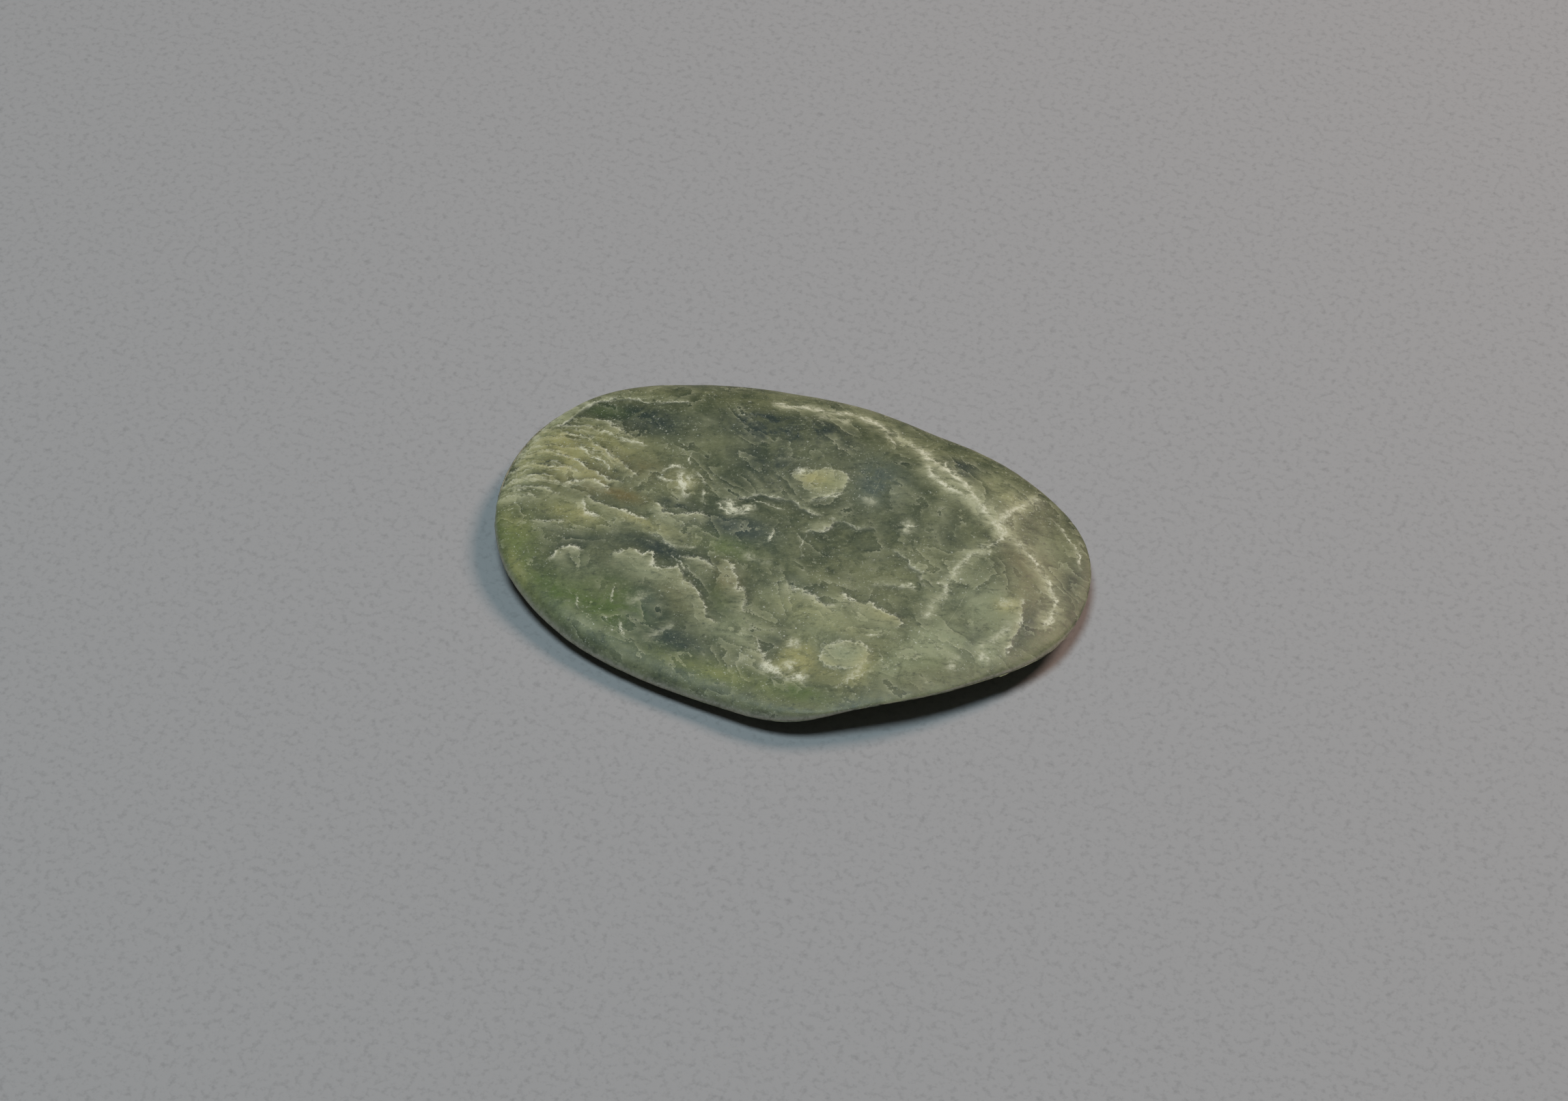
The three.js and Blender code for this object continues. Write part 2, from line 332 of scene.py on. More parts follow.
CLOUDS: dict[Face, dict[Stain, tuple[Cloud, ...]]] = {
    Face.TOP: {
        Stain.TEAL: (
            Cloud((-32, 13), (8, 2.8), 1.0, 3), Cloud((-12, 18.5), (7.5, 2.8), 1.0, 12),
            Cloud((-1.5, 22), (5, 2.5), 0.6), Cloud((-5, 9), (9, 6), 0.45),
            Cloud((-40, 9.2), (4, 1.6), 0.3), Cloud((0, 19), (10, 4), 0.35), Cloud((-9, -28), (6, 2.8)),
            Cloud((22, 22.5), (3.4, 2.6), 0.8), Cloud((36.2, -11.5), (1.3, 4.4), 0.95),
            Cloud((43.3, -3), (1.3, 3.4), 0.8), Cloud((-35, 12.2), (6.5, 2.6), 0.9, -6),
            Cloud((-17.5, -11.4), (3.6, 1.3), 1.0, -6), Cloud((-19.5, -2.2), (3, 1.2), 0.6),
            Cloud((7.6, -23), (1.4, 2.6), 0.8), Cloud((30, 20), (2.5, 2), 0.5),
            Cloud((46, 9), (2.2, 5), 0.5), Cloud((-11, 19.3), (6.5, 2.6), 0.9, 8),
            Cloud((-8, 12), (6, 3.5), 0.45), Cloud((10, 7), (6, 2.4), 0.3), Cloud((22, 8), (5, 3), 0.28),
            Cloud((-8, -3.2), (5, 2.6)), Cloud((-24, -19.5), (5, 3), 0.5), Cloud((-15, -24.3), (4, 3)),
            Cloud((22.5, 23), (3.4, 1.8), 0.5, -15), Cloud((-30, -13), (6, 2.4), 0.4, 10),
            Cloud((-24, -11), (3, 1.6), 0.4),
        ),
        Stain.MOSS: (
            Cloud((-22, -25), (8, 4.5), 0.9, -14), Cloud((-33.5, -10.5), (4.5, 2.2), 0.4),
            Cloud((-42, -17), (5.5, 3.2), 0.9, -35), Cloud((-8, -7.5), (5, 2), 0.6),
            Cloud((-5, -16), (5, 3), 0.35, -35), Cloud((0, -31), (10, 1.8), 0.8),
            Cloud((14, -30), (5, 1.8), 0.6), Cloud((30, -17), (6, 2), 0.4, 30),
            Cloud((-30, -26), (6, 2), 0.6, -25), Cloud((-39, 13), (4, 1.6), 0.4),
            Cloud((-38, -23.5), (7, 2.2), 0.7, -42), Cloud((3.2, 11.2), (2, 1.6), 0.5),
        ),
        Stain.STRAW: (
            Cloud((-43.5, 5), (3.4, 3), 0.55), Cloud((-37, -1.8), (4, 1.3), 0.5),
            Cloud((-34, -10.3), (4.4, 2), 0.7), Cloud((-24, -7.6), (4, 0.8), 0.5),
            Cloud((11.5, -24), (2.6, 3)), Cloud((-0.5, 10.6), (1.6, 1.2), 0.7),
            Cloud((21.5, -11.4), (3, 1.2), 0.4), Cloud((15, -25), (6, 2.4), 0.5),
            Cloud((-42.5, -15.5), (5, 2.4), 0.35, -35), Cloud((0, -31), (9, 1.5), 0.35),
            Cloud((8, -14), (4, 2), 0.35), Cloud((29.5, 20.8), (4.5, 1.9), 0.3, -25),
            # The cloud at (38.6, -1.5) on the next line is part of the painted glint on the right end.
            Cloud((38.6, -1.5), (2, 1.4), 0.6, 25), Cloud((-42, -0.5), (5, 5), 0.55),
            Cloud((-36, 5), (7, 4.5), 0.5), Cloud((-38.5, -24), (7, 1.8), 0.5, -42),
            Cloud((1, 11.2), (3.4, 2.2), 0.5), Cloud((22, -22.5), (1.6, 4.4), 0.5, -10),
            Cloud((-18, -8), (7, 1.6), 0.3), Cloud((-40, 9), (4, 1.6), 0.2),
            Cloud((-19.5, 2.6), (2.6, 2.4), 0.45), Cloud((-47, -4), (1.6, 6), 0.3),
            Cloud((15, -16), (6, 3), 0.3),
        ),
        Stain.HAZE: (
            Cloud((29.5, 20.8), (4.5, 1.9), 0.75, -25), Cloud((40, 13.5), (4, 2.5), 0.4, -30),
            Cloud((-39.5, 8.7), (4.5, 1.8), 0.2), Cloud((-48, 11), (3.4, 6)),
            Cloud((-46, -2), (2.4, 9), 0.6), Cloud((-18, -16.5), (5, 2), 0.4),
            # The clouds at (31, -13.5) and (27, -20) are partly a pale haze in the stone and partly a
            # painted sheen: the cool lamp's bluish reflection on the front right.
            Cloud((-10, -20), (5, 3), 0.15, -30), Cloud((31, -13.5), (6, 4), 0.85, 40),
            Cloud((27, -20), (4, 3), 0.6, 40), Cloud((-28.5, -20.5), (3, 2.6), 0.4),
            Cloud((-16, -7.5), (7, 2), 0.3), Cloud((20, -13), (7, 3), 0.5), Cloud((15, -18), (6, 5), 0.6),
            Cloud((18.5, -21), (3.6, 2.8), 0.95), Cloud((-24, -29.5), (5, 1.5), 0.5, -14),
            Cloud((4, -14), (5, 3), 0.25), Cloud((8, -13.5), (4, 2.4), 0.5),
            # The cloud at (38, -1.5) on the next line is part of the painted glint on the right end.
            Cloud((15, -14.5), (5, 2.6), 0.7), Cloud((38, -1.5), (3, 2.4), 0.4),
            Cloud((1.5, 11), (3.4, 2.8), 0.55), Cloud((39.5, -12.8), (2.6, 1.7), 0.7, 35),
            Cloud((39, -10), (2, 4), 0.7, -30), Cloud((34, -4), (7, 7), 0.5),
            Cloud((26, 17), (6, 2), 0.5, -25), Cloud((0, -23), (5, 4), 0.55),
            Cloud((30, 22), (6, 2.5), 0.3, -25),
        ),
        Stain.RUST: (
            Cloud((-36, -2), (6, 4), 0.45), Cloud((-29, -3.8), (4, 1.3), 0.9), Cloud((-28, 3), (6, 2), 0.5),
            Cloud((-42, 4.2), (3, 1.5), 0.6), Cloud((-34, -3.6), (4, 0.9), 0.7),
            # The cloud at (39, 0) on the next line paints the pink of the key lamp's glint on the right end.
            Cloud((40, 9), (4, 3), 0.3), Cloud((39, 0), (2.6, 3), 0.2),
            Cloud((-5, -13.6), (4, 2.4), 0.6, -35), Cloud((-11, -19), (5, 3), 0.3, -30),
        ),
        Stain.SLATE: (
            Cloud((-3.5, -15), (4, 2), 0.4, -35), Cloud((10, 14), (4.6, 5), 0.9),
            Cloud((-16, -24.5), (2.8, 5), 0.9), Cloud((-6, -3), (7, 3), 0.3),
        ),
    },
    Face.UNDER: {
        Stain.TEAL: (
            Cloud((-22, 8), (11, 5), 0.8, 10), Cloud((16, -12), (10, 5), 0.7, -20),
            Cloud((24, 20), (8, 3), 0.6, -15),
        ),
        Stain.MOSS: (
            Cloud((-30, -14), (9, 6), 0.8, -20), Cloud((4, -27), (12, 3), 0.7),
        ),
        Stain.STRAW: (
            Cloud((-35, 0), (5, 2.5), 0.6), Cloud((8, 8), (4, 3), 0.5),
        ),
        Stain.HAZE: (
            Cloud((30, -4), (8, 6), 0.6, 30), Cloud((-3, -20), (5, 3), 0.7), Cloud((-44, 2), (4, 8), 0.6),
            Cloud((7, 17), (9, 3), 0.4, -15),
        ),
        Stain.RUST: (
            Cloud((-14, 0), (6, 2), 0.6), Cloud((36, 3), (5, 5), 0.5),
        ),
        Stain.SLATE: (
            Cloud((-2, -8), (9, 5), 0.6),
        ),
    },
}

def smooth_step(value: np.ndarray, start: float, end: float) -> np.ndarray:
    """Rises smoothly from 0 at start to 1 at end.

    Args:
        value: The numbers to read.
        start: Where the rise begins.
        end: Where it ends.

    Returns:
        The risen share for each number.
    """
    share = np.clip((value - start) / (end - start), 0.0, 1.0)
    return share * share * (3.0 - 2.0 * share)


@dataclass(frozen=True)
class FurrowFan:
    """The fan of fine torn layers that curls down over the left end. Lengths are in millimetres.

    Args:
        count: How many layers show.
        top: Where the rearmost one runs across the stone.
        pitch: The distance from one to the next.
        start: How far left they reach.
        end: Where they run out on the flat, on average.
        curl: The first points of a layer, from its start and from its own line.
        sway: How far a layer strays from its place.
        stagger: How far its end lies from the average.
        strength: The layers' average strength, and how far it rises and falls.
    """

    count: int = 15
    top: float = 8.6
    pitch: float = 1.28
    start: float = -48.8
    end: float = -39.0
    curl: Path = ((0.0, -5.2), (1.3, -2.6), (3.2, -0.8))
    sway: float = 0.4
    stagger: float = 3.4
    strength: Point = (0.72, 0.28)

    def veins(self) -> tuple[Vein, ...]:
        """One torn layer for each furrow."""
        return tuple(self._layer(number) for number in range(self.count))

    def _layer(self, number: int) -> Vein:
        """Draws one layer, a little longer or shorter than its neighbours.

        Args:
            number: Its place in the fan, from the rear.

        Returns:
            The vein.
        """
        wave = math.sin(2.4 * number)
        y = self.top - self.pitch * number + self.sway * wave
        end = self.end + self.stagger * math.sin(1.7 * number + 1.0)
        curl = tuple((self.start + right, y + up) for right, up in self.curl)
        middle = ((curl[-1][0] + end) / 2, y + 0.2)
        kind = Kind.TEAR if number % 2 else Kind.SOFT_TEAR
        average, change = self.strength
        tip = (end, y - 0.4 + 0.5 * wave)
        return Vein(kind, (*curl, middle, tip), average + change * math.cos(3.1 * number))


@dataclass(frozen=True)
class VeinMap:
    """Reads every vein and cloud at the stone's points and stores what the finish needs.

    Args:
        taper: How far from its end a vein starts to thin, in millimetres.
        margin: Room past a vein's reach for the finish to fray it, in millimetres.
        far: The distance that stands for no vein at all, in millimetres.
        lip: How wide the rise of a torn layer is, in millimetres.
        wrap: How far past upright a mark runs on round the rim, out of 1.
    """

    taper: float = 1.8
    margin: float = 1.0
    far: float = 30.0
    lip: float = 0.5
    wrap: float = 0.45

    def store(self, mesh: Mesh, veins: tuple[Vein, ...]) -> np.ndarray:
        """Stores the veins' and clouds' readings on the mesh's points.

        Args:
            mesh: The stone's mesh.
            veins: All veins.

        Returns:
            How far each point is raised by the torn layers, in millimetres.
        """
        places, normals = read_points(mesh)
        plan = places[:, :2] / MM - np.array(PLAN_CENTRE)
        facing = {face: smooth_step(face.value * normals[:, 2], -self.wrap, 0.0) for face in Face}
        threads = np.tile(np.array([self.far, 0.0, 1.0]), (VEIN_SHEETS, len(plan), 1))
        veils = np.tile(np.array([0.0, 0.0, 1.0]), (VEIN_SHEETS, len(plan), 1))
        taken = np.zeros((VEIN_SHEETS, len(plan)), bool)
        relief = np.zeros(len(plan))
        for vein in veins:
            look = vein.kind.value
            room = look.reach + self.margin
            signed, along = self._measure(plan, vein)
            near = (np.abs(signed) < room) & (facing[vein.face] > 0.0)
            sheet = int(np.argmin([np.count_nonzero(used & near) for used in taken]))
            near &= ~taken[sheet] | (np.abs(signed) < np.abs(threads[sheet, :, 0]))
            share = (along * facing[vein.face] * vein.strength)[near]
            steady = np.ones(len(share))
            threads[sheet, near] = np.stack([signed[near], look.glow * share, look.width * steady], 1)
            veils[sheet, near] = np.stack([look.right * share, look.left * share, look.reach * steady], 1)
            taken[sheet] |= near
            fall = np.clip(1.0 - np.abs(signed) / room, 0.0, 1.0) ** 2
            relief += look.step * along * facing[vein.face] * fall * np.clip(signed / self.lip, -1.0, 1.0)
        for sheet in range(VEIN_SHEETS):
            write_vectors(mesh, f"thread_{sheet}", threads[sheet])
            write_vectors(mesh, f"veil_{sheet}", veils[sheet])
        stains = self._clouds(plan, facing)
        write_vectors(mesh, "stain_deep", stains[:, :3])
        write_vectors(mesh, "stain_light", stains[:, 3:])
        return relief

    def _measure(self, plan: np.ndarray, vein: Vein) -> tuple[np.ndarray, np.ndarray]:
        """Measures how far points lie from a vein.

        Args:
            plan: The points, in millimetres.
            vein: The vein.

        Returns:
            The distance to the path, above 0 on its right, and a share that tapers to 0 at its ends.
        """
        corners = np.array(vein.path + (vein.path[:1] if vein.closed else ()), float)
        lengths = np.linalg.norm(np.diff(corners, axis=0), axis=1)
        total = lengths.sum()
        tie = 1e-6
        best = np.full(len(plan), np.inf)
        across = np.zeros(len(plan))
        along = np.zeros(len(plan))
        passed = 0.0
        for start, end, length in zip(corners[:-1], corners[1:], lengths, strict=True):
            heading = (end - start) / length
            offset = plan - start
            travel = offset @ heading
            side = offset[:, 0] * heading[1] - offset[:, 1] * heading[0]
            held = np.clip(travel, 0.0, length)
            gap = np.hypot(travel - held, side)
            nearer = (gap < best - tie) | ((gap < best + tie) & (np.abs(side) > np.abs(across)))
            best = np.where(nearer, gap, best)
            across = np.where(nearer, side, across)
            along = np.where(nearer, passed + held, along)
            passed += length
        taper = min(self.taper, total / 3)
        share = 1.0 if vein.closed else smooth_step(np.minimum(along, total - along), 0.0, taper)
        return np.where(across < 0.0, -best, best), share * np.ones(len(plan))

    def _clouds(self, plan: np.ndarray, facing: dict[Face, np.ndarray]) -> np.ndarray:
        """Adds the clouds up.

        Args:
            plan: The points, in millimetres.
            facing: How far each point faces each side.

        Returns:
            One row for each point with the amount of each stain.
        """
        clear = np.ones((len(plan), len(Stain)))
        for face, stains in CLOUDS.items():
            for stain, clouds in stains.items():
                for cloud in clouds:
                    depth = cloud.amount * self._oval(plan, cloud) * facing[face]
                    clear[:, stain.value] *= 1.0 - depth
        return 1.0 - clear

    def _oval(self, plan: np.ndarray, cloud: Cloud) -> np.ndarray:
        """Fades a cloud from its middle outwards.

        Args:
            plan: The points, in millimetres.
            cloud: The cloud.

        Returns:
            The share of its amount at each point.
        """
        turn = math.radians(cloud.turn)
        offset = plan - np.array(cloud.centre)
        length = (offset[:, 0] * math.cos(turn) + offset[:, 1] * math.sin(turn)) / cloud.reach[0]
        breadth = (offset[:, 1] * math.cos(turn) - offset[:, 0] * math.sin(turn)) / cloud.reach[1]
        return np.exp(-(length**2 + breadth**2))


# --- Mesh helpers ---


def read_points(mesh: Mesh) -> tuple[np.ndarray, np.ndarray]:
    """Reads a mesh's points.

    Args:
        mesh: The mesh.

    Returns:
        Their places and their normals, one row each.
    """
    places = np.empty(len(mesh.vertices) * 3, np.float32)
    normals = np.empty(len(mesh.vertices) * 3, np.float32)
    mesh.vertices.foreach_get("co", places)
    mesh.vertices.foreach_get("normal", normals)
    return places.reshape(-1, 3).astype(float), normals.reshape(-1, 3).astype(float)


def move_points(mesh: Mesh, places: np.ndarray) -> None:
    """Moves a mesh's points to new places, one row each."""
    mesh.vertices.foreach_set("co", places.astype(np.float32).ravel())
    mesh.update()


def write_vectors(mesh: Mesh, name: str, rows: np.ndarray) -> None:
    """Stores three numbers on each point of a mesh, one row each, under a name."""
    attribute = mesh.attributes.new(name, "FLOAT_VECTOR", "POINT")
    attribute.data.foreach_set("vector", rows.astype(np.float32).ravel())


def select_only(piece: Piece) -> None:
    """Deselects everything, then selects one piece and makes it active.

    Args:
        piece: The piece.
    """
    bpy.ops.object.select_all(action="DESELECT")
    piece.select_set(True)
    bpy.context.view_layer.objects.active = piece


def finish_with(piece: Piece, kind: str, **settings: object) -> None:
    """Adds a modifier to a piece and applies it.

    Args:
        piece: The piece.
        kind: The modifier's type.
        settings: Its settings.
    """
    select_only(piece)
    modifier = piece.modifiers.new(kind.lower(), kind)
    for name, value in settings.items():
        setattr(modifier, name, value)
    bpy.ops.object.modifier_apply(modifier=modifier.name)


# --- The stone ---


@dataclass(frozen=True)
class Wear:
    """A relief of cloudy noise that the river left. Lengths are in metres.

    Args:
        name: Its name.
        depth: How deep it cuts.
        size: The length of its waves.
        detail: How many finer waves it carries.
    """

    name: str
    depth: float
    size: float
    detail: int


@dataclass
class PebbleStone:
    """The pebble itself: one stone, worn smooth, with torn layers and a furrowed end. Lengths are in metres.

    Args:
        node: The solid that it takes its shape from.
        ball_cuts: How often the starting cube is subdivided into a ball.
        fine_cuts: How often the wrapped ball is subdivided again.
        room: How far the ball stands off the solid's box before it is wrapped.
        merge: How close the solid's loose corners lie.
        wear: The broad waves and the fine pits.
        skin: How far the surface stays inside its solid's box.
        scuff_and_reflection_from: How upright the rim's normals are, out of 1, where its pale grey is full,
            partly scuffs and partly a painted reflection of the pale table.
        scuff_and_reflection_to: How upright they are where that grey ends.
    """

    node: str = "pebble"
    ball_cuts: int = 5
    fine_cuts: int = 2
    room: float = 5.0 * MM
    merge: float = 0.002 * MM
    wear: tuple[Wear, ...] = (Wear("swell", 0.22 * MM, 12.0 * MM, 2), Wear("pits", 0.07 * MM, 1.6 * MM, 3))
    skin: float = 0.01 * MM
    scuff_and_reflection_from: float = 0.35
    scuff_and_reflection_to: float = 0.88

    def build(self) -> Piece:
        """Shapes the stone.

        Returns:
            The finished piece, still without its finish.
        """
        mould = self._mould()
        stone = self._ball()
        for _ in range(self.fine_cuts):
            finish_with(stone, "SHRINKWRAP", target=mould, wrap_method="NEAREST_SURFACEPOINT")
            finish_with(stone, "SUBSURF", levels=1, render_levels=1)
        bpy.data.objects.remove(mould)
        self._weather(stone)
        self._tear(stone)
        self._keep_inside(stone)
        select_only(stone)
        bpy.ops.object.shade_smooth()
        return stone

    def _mould(self) -> Piece:
        """Copies the solid, merges the copy and rounds off its facets.

        Returns:
            The rounded copy.
        """
        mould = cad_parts[self.node].copy()
        mould.data = mould.data.copy()
        bpy.context.collection.objects.link(mould)
        select_only(mould)
        bpy.ops.object.mode_set(mode="EDIT")
        bpy.ops.mesh.select_all(action="SELECT")
        bpy.ops.mesh.remove_doubles(threshold=self.merge)
        bpy.ops.object.mode_set(mode="OBJECT")
        finish_with(mould, "SUBSURF", levels=1, render_levels=1)
        return mould

    def _ball(self) -> Piece:
        """Rounds a cube into a flattened ball that stands a little off the solid's box.

        Returns:
            The ball.
        """
        low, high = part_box(self.node)
        bpy.ops.object.select_all(action="DESELECT")
        bpy.ops.mesh.primitive_cube_add(size=2.0)
        stone = bpy.context.active_object
        stone.name = "river_pebble"
        finish_with(stone, "SUBSURF", levels=self.ball_cuts, render_levels=self.ball_cuts)
        finish_with(stone, "CAST", factor=1.0, radius=1.0, cast_type="SPHERE")
        select_only(stone)
        bpy.ops.object.mode_set(mode="EDIT")
        bpy.ops.mesh.select_all(action="SELECT")
        bpy.ops.transform.resize(value=tuple(half + self.room for half in (high - low) / 2))
        bpy.ops.transform.translate(value=tuple((high + low) / 2))
        bpy.ops.object.mode_set(mode="OBJECT")
        return stone

    def _weather(self, stone: Piece) -> None:
        """Wears broad waves and fine pits into the stone.

        Args:
            stone: The wrapped ball.
        """
        for wear in self.wear:
            texture = bpy.data.textures.new(wear.name, "CLOUDS")
            texture.noise_scale = wear.size
            texture.noise_depth = wear.detail
            finish_with(stone, "DISPLACE", texture=texture, texture_coords="LOCAL", strength=wear.depth,
                        mid_level=1.0)

    def _tear(self, stone: Piece) -> None:
        """Draws the veins and clouds on the stone and raises its torn layers.

        Args:
            stone: The weathered stone.
        """
        drawn = BACK_VEINS + LEFT_VEINS + MIDDLE_VEINS + FRONT_VEINS + SCRATCHES + UNDER_VEINS
        relief = VeinMap().store(stone.data, drawn + FurrowFan().veins())
        places, normals = read_points(stone.data)
        # Steepness, stored as wear: it lays the rim's pale pinkish grey, partly scuffs and partly a painted
        # reflection of the pale table.
        worn = 1.0 - smooth_step(np.abs(normals[:, 2]), self.scuff_and_reflection_from, self.scuff_and_reflection_to)
        write_vectors(stone.data, "wear", np.repeat(worn[:, None], 3, 1))
        move_points(stone.data, places + normals * relief[:, None] * MM)

    def _keep_inside(self, stone: Piece) -> None:
        """Holds every point inside the solid's box.

        Args:
            stone: The torn stone.
        """
        low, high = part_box(self.node)
        places, _ = read_points(stone.data)
        move_points(stone.data, np.clip(places, np.array(low) + self.skin, np.array(high) - self.skin))

    def dress(self, stone: Piece, finish: Material) -> None:
        """Gives the stone its finish and its place in the frame.

        Args:
            stone: The finished shape.
            finish: The nephrite.
        """
        stone.data.materials.clear()
        stone.data.materials.append(finish)
        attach(stone, "root")
        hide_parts(self.node)


# --- Finishes ---


@dataclass(frozen=True)
class Noise:
    """The make-up of a noise.

    Args:
        size: The length of its waves, in millimetres.
        detail: How many finer waves it carries.
        roughness: How strong those are.
        swirl: How far it is swirled.
        turn: The bearing that it is drawn out along, in degrees.
        squeeze: Its scale along that bearing. Smaller is longer.
    """

    size: float
    detail: float
    roughness: float
    swirl: float = 0.0
    turn: float = 0.0
    squeeze: float = 1.0


@dataclass(frozen=True)
class Ramp:
    """A smooth ramp from one range of numbers to another.

    Args:
        low: Start of the range that it reads.
        high: End of that range.
        to_low: What the start becomes.
        to_high: What the end becomes.
    """

    low: float
    high: float
    to_low: float = 0.0
    to_high: float = 1.0


class Sheet:
    """A node tree being wired, with short ways to add the nodes that the finishes use."""

    def __init__(self, tree: Tree) -> None:
        """Starts on a tree."""
        self.tree = tree

    def add(self, kind: str, inputs: dict[int | str, object] | None = None, **settings: object) -> Node:
        """Adds a node.

        Args:
            kind: Its type, without the leading ShaderNode.
            inputs: What feeds it, by the place or the name of its input.
            settings: Its settings.

        Returns:
            The node.
        """
        node = self.tree.nodes.new(f"ShaderNode{kind}")
        for name, value in settings.items():
            setattr(node, name, value)
        for key, value in (inputs or {}).items():
            self.feed(node.inputs[key], value)
        return node

    def feed(self, socket: Socket, value: object) -> None:
        """Links a socket into another, or sets its value.

        Args:
            socket: The input.
            value: An output, a number or a colour.
        """
        if isinstance(value, Socket):
            self.tree.links.new(value, socket)
        elif isinstance(value, tuple) and len(socket.default_value) > len(value):
            socket.default_value = (*value, 1.0)
        else:
            socket.default_value = value

    def maths(self, operation: str, *values: object, clamp: bool = False) -> Socket:
        """One number worked out from others, and held between 0 and 1 where it is clamped."""
        return self.add("Math", dict(enumerate(values)), operation=operation, use_clamp=clamp).outputs[0]

    def times(self, first: object, second: object, clamp: bool = False) -> Socket:
        """One number times another."""
        return self.maths("MULTIPLY", first, second, clamp=clamp)

    def less(self, first: object, second: object, clamp: bool = False) -> Socket:
        """One number less another."""
        return self.maths("SUBTRACT", first, second, clamp=clamp)

    def blend(self, *parts: tuple[object, float]) -> Socket:
        """Adds numbers up, each at its own share.

        Args:
            parts: The numbers with their shares.

        Returns:
            The sum.
        """
        total = self.times(*parts[0])
        for value, share in parts[1:]:
            total = self.maths("MULTIPLY_ADD", value, share, total)
        return total

    def remap(self, value: Socket, ramp: Ramp) -> Socket:
        """A number carried up a ramp, and held past the ramp's ends."""
        ends = {"From Min": ramp.low, "From Max": ramp.high, "To Min": ramp.to_low, "To Max": ramp.to_high}
        return self.add("MapRange", {"Value": value, **ends}, interpolation_type="SMOOTHSTEP").outputs[0]

    def tint(self, amount: object, under: object, over: object, mode: str = "MIX") -> Socket:
        """One colour laid over another, by an amount from 0 to 1."""
        inputs = {0: amount, 6: under, 7: over}
        return self.add("Mix", inputs, data_type="RGBA", blend_type=mode, clamp_factor=True).outputs[2]

    def noise(self, where: Socket, noise: Noise) -> Socket:
        """Adds a noise.

        Args:
            where: The coordinates, in metres.
            noise: Its make-up.

        Returns:
            A number around 0.5.
        """
        if noise.squeeze != 1.0:
            turn, scale = (0.0, 0.0, math.radians(noise.turn)), (1.0 / noise.squeeze, 1.0, 1.0)
            inputs = {"Vector": where, "Rotation": turn, "Scale": scale}
            where = self.add("Mapping", inputs, vector_type="TEXTURE").outputs[0]
        make_up = {"Detail": noise.detail, "Roughness": noise.roughness, "Distortion": noise.swirl}
        scale = 1.0 / (noise.size * MM)
        return self.add("TexNoise", {"Vector": where, "Scale": scale, **make_up}).outputs[0]

    def patchy(self, where: Socket, noise: Noise, ramp: Ramp) -> Socket:
        """A noise carried up a ramp."""
        return self.remap(self.noise(where, noise), ramp)

    def split(self, vector: Socket) -> tuple[Socket, ...]:
        """The three numbers of a vector."""
        return tuple(self.add("SeparateXYZ", {0: vector}).outputs)

    def reading(self, name: str) -> Socket:
        """The vector stored on the piece under a name."""
        return self.add("Attribute", attribute_type="GEOMETRY", attribute_name=name).outputs["Vector"]

    def place(self, group: Tree, **inputs: object) -> Node:
        """Adds a node group, with what feeds it by the name of its input."""
        return self.add("Group", inputs, node_tree=group)

    def bump(self, height: Socket, strength: float, depth: float) -> Socket:
        """The normal of a surface roughened to a depth in millimetres."""
        return self.add("Bump", {"Height": height, "Strength": strength, "Distance": depth * MM}).outputs[0]


def new_group(name: str, takes: dict[str, str], gives: dict[str, str]) -> tuple[Sheet, Node, Node]:
    """Starts a shader node group.

    Args:
        name: Its name.
        takes: Its inputs, each with the kind of socket.
        gives: Its outputs, in the same way.

    Returns:
        The sheet to wire it on, its input node and its output node.
    """
    tree = bpy.data.node_groups.new(name, "ShaderNodeTree")
    for side, sockets in (("INPUT", takes), ("OUTPUT", gives)):
        for label, kind in sockets.items():
            tree.interface.new_socket(label, in_out=side, socket_type=f"NodeSocket{kind}")
    return Sheet(tree), tree.nodes.new("NodeGroupInput"), tree.nodes.new("NodeGroupOutput")


def torn_edge_group(fall: float = 1.6, softness: float = 0.06) -> Tree:
    """Builds the effect that turns one sheet of vein readings into a bright thread and its veil.

    Args:
        fall: How fast the veil fades away from the thread.
        softness: How softly one side's veil turns into the other's, in millimetres.

    Returns:
        The group. Thread holds distance, glow and width, and Veil right, left and reach, in millimetres.
    """
    sheet, given, result = new_group(
        "torn_edge",
        {"Thread": "Vector", "Veil": "Vector", "Waver": "Float", "Fray": "Float"},
        {"Line": "Float", "Shade": "Float"},
    )
    distance, glow, width = sheet.split(given.outputs["Thread"])
    right, left, reach = sheet.split(given.outputs["Veil"])
    moved = sheet.maths("ADD", distance, given.outputs["Waver"])
    gap = sheet.maths("ABSOLUTE", moved)
    narrow = sheet.maths("DIVIDE", gap, sheet.times(width, given.outputs["Fray"]))
    bell = sheet.maths("EXPONENT", sheet.times(sheet.times(narrow, narrow), -1.0))
    sheet.feed(result.inputs["Line"], sheet.times(bell, glow))
    fade = sheet.less(1.0, sheet.maths("DIVIDE", gap, reach), clamp=True)
    on_right = sheet.remap(moved, Ramp(-softness, softness))
    on_left = sheet.less(1.0, on_right)
    amount = sheet.maths("ADD", sheet.times(right, on_right), sheet.times(left, on_left))
    sheet.feed(result.inputs["Shade"], sheet.times(sheet.maths("POWER", fade, fall), amount))
    return sheet.tree


